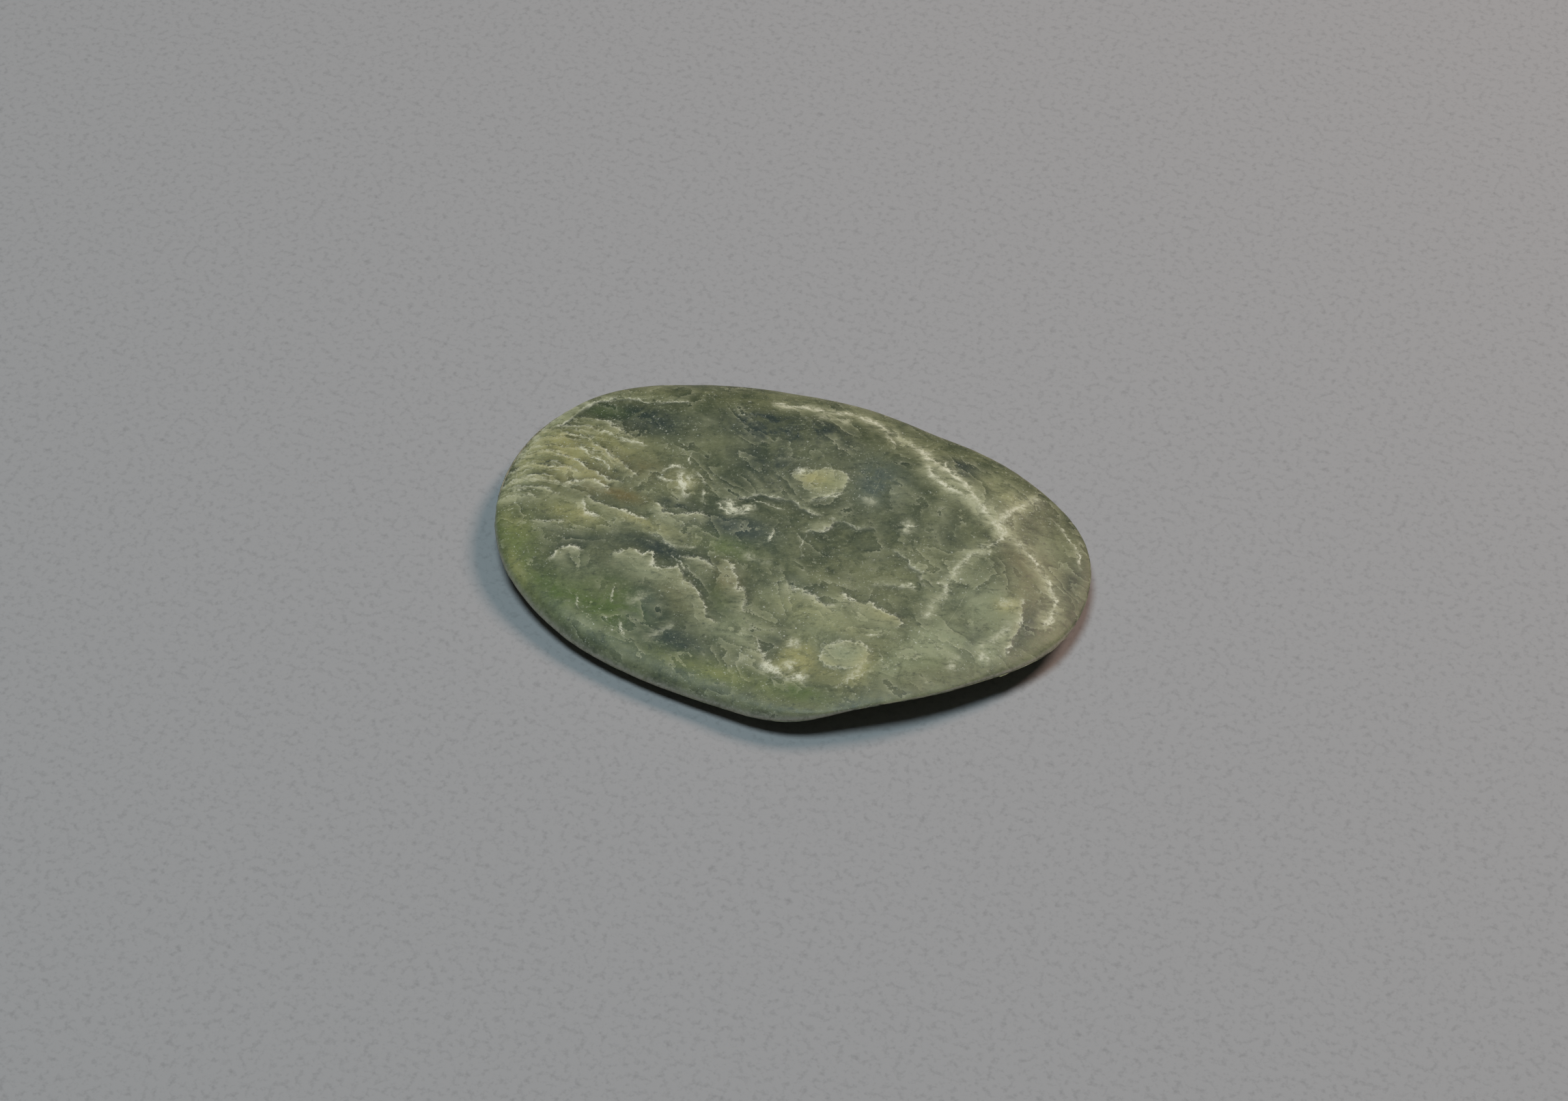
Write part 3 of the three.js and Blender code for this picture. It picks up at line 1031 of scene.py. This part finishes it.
def grain_group(detail: float = 3.0, roughness: float = 0.65) -> Tree:
    """Builds the fine grain that the stone and the table share.

    Args:
        detail: How many finer waves it carries.
        roughness: How strong those are.

    Returns:
        The group. Size is in millimetres, and Grain comes out around 0.
    """
    sheet, given, result = new_group("grain", {"Where": "Vector", "Size": "Float"}, {"Grain": "Float"})
    scale = sheet.maths("DIVIDE", 1.0 / MM, given.outputs["Size"])
    inputs = {"Vector": given.outputs["Where"], "Scale": scale, "Detail": detail, "Roughness": roughness}
    sheet.feed(result.inputs["Grain"], sheet.less(sheet.add("TexNoise", inputs).outputs[0], 0.5))
    return sheet.tree


def new_material(name: str) -> tuple[Material, Sheet, Node]:
    """Starts a material.

    Args:
        name: Its name.

    Returns:
        The material, its sheet and its Principled BSDF.
    """
    material = bpy.data.materials.new(name)
    material.use_nodes = True
    return material, Sheet(material.node_tree), material.node_tree.nodes["Principled BSDF"]


@dataclass(frozen=True)
class Ground:
    """What every part of the nephrite is drawn from.

    Args:
        where: Object coordinates.
        fibres: Noise drawn out in fibres.
        felt: Fine, even noise.
        wisps: Broad, wispy noise.
    """

    where: Socket
    fibres: Socket
    felt: Socket
    wisps: Socket


@dataclass(frozen=True)
class NephriteFinish:
    """Worn nephrite: cloudy greens under a felt of fibres, with pale healed veins. Colours are linear.

    A ramp turns a noise or a distance into an amount. The noises and ramps stand in the order of what they
    shape:
    all marks, then the body, veins, small laps, mottle, specks, the rim's scuffs with its painted
    reflection, and sheen.
    """

    deep_olive: Colour = (0.060, 0.080, 0.038)
    olive: Colour = (0.200, 0.216, 0.108)
    teal: Colour = (0.031, 0.050, 0.040)
    slate: Colour = (0.100, 0.130, 0.098)
    moss: Colour = (0.104, 0.160, 0.036)
    straw: Colour = (0.400, 0.385, 0.160)
    rust: Colour = (0.190, 0.160, 0.062)
    haze: Colour = (0.325, 0.360, 0.208)
    veil: Colour = (0.520, 0.530, 0.325)
    straw_veil: Colour = (0.520, 0.490, 0.230)
    shade: Colour = (0.020, 0.034, 0.024)
    cream: Colour = (0.800, 0.800, 0.600)
    speck: Colour = (0.800, 0.820, 0.700)
    # Pale pinkish grey of the steep rim: partly scuffs, partly a painted reflection of the pale table.
    scuff_and_reflection: Colour = (0.460, 0.420, 0.340)

    fibres: Noise = Noise(1.3, 6.0, 0.76, 0.5, turn=18.0, squeeze=0.40)
    felt: Noise = Noise(0.8, 4.0, 0.75)
    wisps: Noise = Noise(4.5, 6.0, 0.68, 0.8)

    drift: Noise = Noise(13.0, 5.0, 0.60, 1.2)
    drift_share: float = 0.55
    body_ramp: Ramp = Ramp(0.36, 0.62)
    cloud_ramp: Ramp = Ramp(0.34, 0.62, 0.50, 1.45)

    waver: Noise = Noise(2.4, 4.0, 0.7)
    waver_reach: float = 2.6
    felt_reach: float = 1.1
    fray_ramp: Ramp = Ramp(0.35, 0.66, 0.30, 2.3)
    gaps: Noise = Noise(2.6, 2.0, 0.5)
    gap_ramp: Ramp = Ramp(0.38, 0.56, 0.25, 1.15)
    beads: Noise = Noise(0.6, 3.0, 0.75)
    bead_ramp: Ramp = Ramp(0.36, 0.60, 0.20, 1.20)
    strand_ramp: Ramp = Ramp(0.32, 0.66, 0.40, 1.45)
    veil_cover: float = 0.72

    folds: Noise = Noise(9.0, 3.0, 0.5, 0.4, turn=160.0, squeeze=0.5)
    fold_wisps: float = 0.16
    fold_felt: float = 0.08
    laps: float = 9.0
    lap_patches: Noise = Noise(7.0, 3.0, 0.6)
    patch_ramp: Ramp = Ramp(0.42, 0.60)
    lap_beads: Noise = Noise(0.9, 3.0, 0.7)
    lap_bead_ramp: Ramp = Ramp(0.40, 0.60)
    lap_edge_ramp: Ramp = Ramp(0.14, 0.03)
    lap_edge: float = 0.22
    lap_pale: float = 0.44
    lap_dark: float = 0.24

    hairs: Noise = Noise(0.42, 3.0, 0.8, turn=24.0, squeeze=0.35)
    dark_ramp: Ramp = Ramp(0.50, 0.37, 0.0, 0.56)
    light_ramp: Ramp = Ramp(0.51, 0.67, 0.0, 0.54)

    crowd: Noise = Noise(9.0, 3.0, 0.6)
    crowd_ramp: Ramp = Ramp(0.40, 0.62, 0.20, 1.0)
    dust: Noise = Noise(0.40, 2.0, 0.8)
    dust_ramp: Ramp = Ramp(0.61, 0.76, 0.0, 0.75)
    cell: float = 1.1
    cell_ramp: Ramp = Ramp(0.17, 0.05)
    chosen_ramp: Ramp = Ramp(0.72, 0.98, 0.0, 0.8)

    rim_breakup_ramp: Ramp = Ramp(0.34, 0.60, 0.45, 1.0)
    scuff_and_reflection_cover: float = 0.85

    gloss: float = 0.50
    specular: float = 0.36
    refraction: float = 1.6
    grain_size: float = 0.35
    bump_strength: float = 0.5
    bump_depth: float = 0.06

    def make(self, torn_edge: Tree, grain: Tree) -> Material:
        """Makes the material.

        Args:
            torn_edge: The vein effect.
            grain: The grain effect.

        Returns:
            The nephrite.
        """
        material, sheet, shader = new_material("nephrite")
        where = sheet.add("TexCoord").outputs["Object"]
        shared = (self.fibres, self.felt, self.wisps)
        ground = Ground(where, *(sheet.noise(where, noise) for noise in shared))
        line, veil, shade = self._veins(sheet, ground, torn_edge)
        edge, pale, dark = self._layering(sheet, ground)
        line = sheet.maths("MAXIMUM", line, edge)
        veil = sheet.maths("ADD", veil, pale, clamp=True)
        shade = sheet.maths("ADD", shade, dark, clamp=True)
        straw = sheet.split(sheet.reading("stain_deep"))[2]
        film = sheet.tint(sheet.times(straw, 1.5, clamp=True), self.veil, self.straw_veil)
        colour = sheet.tint(sheet.times(veil, self.veil_cover), self._body(sheet, ground), film)
        colour = sheet.tint(shade, colour, self.shade)
        colour = self._mottle(sheet, ground, colour)
        colour = sheet.tint(line, colour, self.cream)
        colour = sheet.tint(self._specks(sheet, where), colour, self.speck)
        # The rim's pale pinkish grey, partly scuffs and partly a painted reflection of the pale table.
        scuffed_and_reflecting = self._scuff_and_reflection(sheet, ground)
        sheet.feed(shader.inputs["Base Color"], sheet.tint(scuffed_and_reflecting, colour, self.scuff_and_reflection))

        shader.inputs["IOR"].default_value = self.refraction
        shader.inputs["Specular IOR Level"].default_value = self.specular
        uneven = sheet.less(ground.felt, 0.5)
        rough = sheet.blend((1.0, self.gloss), (uneven, 0.40), (line, 0.20), (scuffed_and_reflecting, 0.25), (veil, 0.08))
        sheet.feed(shader.inputs["Roughness"], sheet.times(rough, 1.0, clamp=True))
        fine = sheet.place(grain, Where=where, Size=self.grain_size).outputs["Grain"]
        height = sheet.blend((line, 0.6), (fine, 0.7), (ground.felt, 1.0))
        sheet.feed(shader.inputs["Normal"], sheet.bump(height, self.bump_strength, self.bump_depth))
        return material

    def _body(self, sheet: Sheet, ground: Ground) -> Socket:
        """Clouds the stone with its broad tints, and with the painted glint and sheen that some clouds
        carry.

        Args:
            sheet: The material's sheet.
            ground: The shared noises.

        Returns:
            The clouded colour.
        """
        drift = sheet.noise(ground.where, self.drift)
        mixed = sheet.blend((drift, self.drift_share), (ground.wisps, 1.0 - self.drift_share))
        colour = sheet.tint(sheet.remap(mixed, self.body_ramp), self.deep_olive, self.olive)
        torn = sheet.remap(ground.wisps, self.cloud_ramp)
        teal, moss, straw = sheet.split(sheet.reading("stain_deep"))
        haze, rust, slate = sheet.split(sheet.reading("stain_light"))
        for amount, tint in (
            (teal, self.teal),
            (slate, self.slate),
            (moss, self.moss),
            (rust, self.rust),
            (haze, self.haze),
            (straw, self.straw),
        ):
            colour = sheet.tint(sheet.times(amount, torn, clamp=True), colour, tint)
        return colour

    def _veins(self, sheet: Sheet, ground: Ground, torn_edge: Tree) -> tuple[Socket, Socket, Socket]:
        """Adds up every sheet of veins.

        Args:
            sheet: The material's sheet.
            ground: The shared noises.
            torn_edge: The vein effect.

        Returns:
            How much bright thread, pale veil and dark shade there is.
        """
        broad = sheet.less(sheet.noise(ground.where, self.waver), 0.5)
        small = sheet.less(ground.felt, 0.5)
        waver = sheet.blend((broad, self.waver_reach), (small, self.felt_reach))
        fray = sheet.remap(ground.fibres, self.fray_ramp)
        lines = []
        veils = []
        for number in range(VEIN_SHEETS):
            thread, veil = sheet.reading(f"thread_{number}"), sheet.reading(f"veil_{number}")
            edge = sheet.place(torn_edge, Thread=thread, Veil=veil, Waver=waver, Fray=fray)
            lines.append(edge.outputs["Line"])
            veils.append(edge.outputs["Shade"])
        line, veil = lines[0], veils[0]
        for next_line, next_veil in zip(lines[1:], veils[1:], strict=True):
            line = sheet.maths("MAXIMUM", line, next_line)
            veil = sheet.maths("ADD", veil, next_veil)
        gaps = sheet.patchy(ground.where, self.gaps, self.gap_ramp)
        beads = sheet.patchy(ground.where, self.beads, self.bead_ramp)
        line = sheet.times(line, sheet.times(gaps, beads), clamp=True)
        strands = sheet.remap(ground.fibres, self.strand_ramp)
        pale = sheet.times(veil, strands, clamp=True)
        return line, pale, sheet.times(sheet.times(veil, -1.0), strands, clamp=True)

    def _layering(self, sheet: Sheet, ground: Ground) -> tuple[Socket, Socket, Socket]:
        """Lays small torn layers one over another, in patches all over the stone.

        Args:
            sheet: The material's sheet.
            ground: The shared noises.

        Returns:
            How much bright edge, pale lap and dark gap there is.
        """
        folds = sheet.noise(ground.where, self.folds)
        folds = sheet.blend((folds, 1.0), (ground.wisps, self.fold_wisps), (ground.felt, self.fold_felt))
        lap = sheet.maths("FRACT", sheet.times(folds, self.laps))
        beads = sheet.patchy(ground.where, self.lap_beads, self.lap_bead_ramp)
        edge = sheet.times(sheet.remap(lap, self.lap_edge_ramp), sheet.times(beads, self.lap_edge))
        pale = sheet.times(sheet.maths("POWER", sheet.less(1.0, lap), 2.0), self.lap_pale)
        dark = sheet.times(sheet.maths("POWER", lap, 2.0), self.lap_dark)
        patches = sheet.patchy(ground.where, self.lap_patches, self.patch_ramp)
        return sheet.times(edge, patches), sheet.times(pale, patches), sheet.times(dark, patches)

    def _mottle(self, sheet: Sheet, ground: Ground, colour: Socket) -> Socket:
        """Breaks the colour up with fibres, felt and hairs.

        Args:
            sheet: The material's sheet.
            ground: The shared noises.
            colour: The colour so far.

        Returns:
            The mottled colour.
        """
        hairs = sheet.noise(ground.where, self.hairs)
        mixed = sheet.blend((ground.fibres, 0.4), (ground.felt, 0.3), (hairs, 0.3))
        colour = sheet.tint(sheet.remap(mixed, self.dark_ramp), colour, self.shade)
        return sheet.tint(sheet.remap(mixed, self.light_ramp), colour, self.haze)

    def _specks(self, sheet: Sheet, where: Socket) -> Socket:
        """Scatters tiny pale specks, thick in some places and thin in others.

        Args:
            sheet: The material's sheet.
            where: Object coordinates.

        Returns:
            How much speck there is.
        """
        cells = sheet.add("TexVoronoi", {"Vector": where, "Scale": 1.0 / (self.cell * MM)}, feature="F1")
        near = sheet.remap(cells.outputs["Distance"], self.cell_ramp)
        chosen, _, _ = sheet.split(cells.outputs["Color"])
        grains = sheet.times(near, sheet.remap(chosen, self.chosen_ramp))
        dust = sheet.patchy(where, self.dust, self.dust_ramp)
        crowd = sheet.patchy(where, self.crowd, self.crowd_ramp)
        return sheet.times(crowd, sheet.maths("MAXIMUM", dust, grains))

    def _scuff_and_reflection(self, sheet: Sheet, ground: Ground) -> Socket:
        """Lays a dull, pinkish grey on the steep rim: partly scuffs, partly a painted reflection of the pale
        table.

        Args:
            sheet: The material's sheet.
            ground: The shared noises.

        Returns:
            How scuffed the stone is.
        """
        # Steepness, stored as wear; the grey it lays is partly a painted reflection of the table.
        worn, _, _ = sheet.split(sheet.reading("wear"))
        rim_breakup = sheet.remap(ground.felt, self.rim_breakup_ramp)
        return sheet.times(sheet.times(worn, rim_breakup), self.scuff_and_reflection_cover, clamp=True)


@dataclass(frozen=True)
class TableFinish:
    """Matt grey card with a faint tooth.

    Args:
        colour: Its colour.
        tooth: How far the tooth lightens and darkens it.
        size: The size of the tooth, in millimetres.
        gloss: Its roughness.
        specular: How strongly it reflects.
        bump_strength: How strongly the tooth is felt.
        bump_depth: How deep it is, in millimetres.
    """

    colour: Colour = (0.42, 0.42, 0.42)
    tooth: float = 0.85
    size: float = 1.2
    gloss: float = 0.95
    specular: float = 0.2
    bump_strength: float = 0.3
    bump_depth: float = 0.1

    def make(self, grain: Tree) -> Material:
        """Makes the material.

        Args:
            grain: The grain effect.

        Returns:
            The card.
        """
        material, sheet, shader = new_material("pale_card")
        where = sheet.add("TexCoord").outputs["Object"]
        tooth = sheet.place(grain, Where=where, Size=self.size).outputs["Grain"]
        light = sheet.maths("MULTIPLY_ADD", tooth, self.tooth, 1.0)
        grey = sheet.tint(light, (0.0, 0.0, 0.0), (1.0, 1.0, 1.0))
        sheet.feed(shader.inputs["Base Color"], sheet.tint(1.0, self.colour, grey, "MULTIPLY"))
        shader.inputs["Roughness"].default_value = self.gloss
        shader.inputs["Specular IOR Level"].default_value = self.specular
        sheet.feed(shader.inputs["Normal"], sheet.bump(tooth, self.bump_strength, self.bump_depth))
        return material


# --- The studio ---


@dataclass(frozen=True)
class SoftLamp:
    """A round soft light that looks at the stone.

    Args:
        name: Its name.
        bearing: Where it stands, in degrees from +X towards +Y.
        lean: How far it stands from straight overhead, in degrees.
        distance: How far away it is.
        size: How wide it is.
        power: Its power in watts.
        colour: Its colour.
    """

    name: str
    bearing: float
    lean: float
    distance: float
    size: float
    power: float
    colour: Colour

    def hang(self) -> Piece:
        """Hangs the lamp.

        Returns:
            The lamp.
        """
        turn, tilt = math.radians(self.bearing), math.radians(self.lean)
        away = Vector((math.sin(tilt) * math.cos(turn), math.sin(tilt) * math.sin(turn), math.cos(tilt)))
        bpy.ops.object.light_add(type="AREA", location=tuple(away * self.distance))
        lamp = bpy.context.active_object
        lamp.name = self.name
        lamp.rotation_euler = away.to_track_quat("Z", "Y").to_euler()
        lamp.data.shape = "DISK"
        lamp.data.size = self.size
        lamp.data.energy = self.power
        lamp.data.color = self.colour
        return lamp


@dataclass(frozen=True)
class Studio:
    """The plain table, the soft light and the camera.

    Args:
        table_size: Side of the table.
        azimuth: Where the camera stands, in degrees round from the front.
        elevation: How high it looks down from, in degrees.
        distance: How far it is from the stone.
        aim: The point it looks at.
        lens: Its focal length in millimetres.
        frame_width: The width of its frame in millimetres.
        near: The nearest that it sees.
        lamps: The lights.
        backdrop: The colour behind the table.
        ambient: How strongly that colour lights the scene.
    """

    table_size: float = 1.8
    azimuth: float = 23.0
    elevation: float = 48.0
    distance: float = 0.640
    aim: tuple[float, float, float] = (0.0003, -0.00175, 0.006)
    lens: float = 90.0
    frame_width: float = 36.0
    near: float = 0.01
    lamps: tuple[SoftLamp, ...] = (
        SoftLamp("key_lamp", 57.0, 44.0, 1.5, 0.50, 10.6, (1.0, 0.73, 0.62)),
        SoftLamp("sky_lamp", 230.0, 7.0, 1.6, 0.60, 12.9, (0.74, 0.92, 1.0)),
    )
    backdrop: Colour = (0.30, 0.30, 0.305)
    ambient: float = 0.10

    def build(self, card: Material) -> None:
        """Sets up the table, the lights, the surroundings and the camera.

        Args:
            card: The table's finish.
        """
        bpy.ops.object.select_all(action="DESELECT")
        bpy.ops.mesh.primitive_plane_add(size=self.table_size, location=(0.0, 0.0, 0.0))
        table = bpy.context.active_object
        table.name = "table"
        table.data.materials.append(card)
        for lamp in self.lamps:
            lamp.hang()
        self._surroundings()
        self._camera()

    def _surroundings(self) -> None:
        """Makes the backdrop, which the camera sees brighter than it lights."""
        world = bpy.data.worlds.new("surroundings")
        world.use_nodes = True
        sheet = Sheet(world.node_tree)
        background = world.node_tree.nodes["Background"]
        sheet.feed(background.inputs["Color"], self.backdrop)
        seen = sheet.add("LightPath").outputs["Is Camera Ray"]
        sheet.feed(background.inputs["Strength"], sheet.maths("MAXIMUM", seen, self.ambient))
        bpy.context.scene.world = world

    def _camera(self) -> None:
        """Sets up the camera."""
        turn, lift = math.radians(self.azimuth), math.radians(self.elevation)
        back = Vector((math.sin(turn) * math.cos(lift), -math.cos(turn) * math.cos(lift), math.sin(lift)))
        bpy.ops.object.camera_add(location=tuple(Vector(self.aim) + back * self.distance))
        camera = bpy.context.active_object
        camera.rotation_euler = back.to_track_quat("Z", "Y").to_euler()
        camera.data.lens = self.lens
        camera.data.sensor_width = self.frame_width
        camera.data.clip_start = self.near
        bpy.context.scene.camera = camera


def main() -> None:
    """Builds the studio and the stone, in order."""
    logging.basicConfig(level=logging.INFO, format="%(name)s: %(message)s")
    bpy.context.scene.view_settings.view_transform = "Standard"
    grain = grain_group()
    Studio().build(TableFinish().make(grain))
    pebble = PebbleStone()
    stone = pebble.build()
    pebble.dress(stone, NephriteFinish().make(torn_edge_group(), grain))
    LOG.info("%s: %d faces", stone.name, len(stone.data.polygons))


if __name__ == "__main__":
    main()
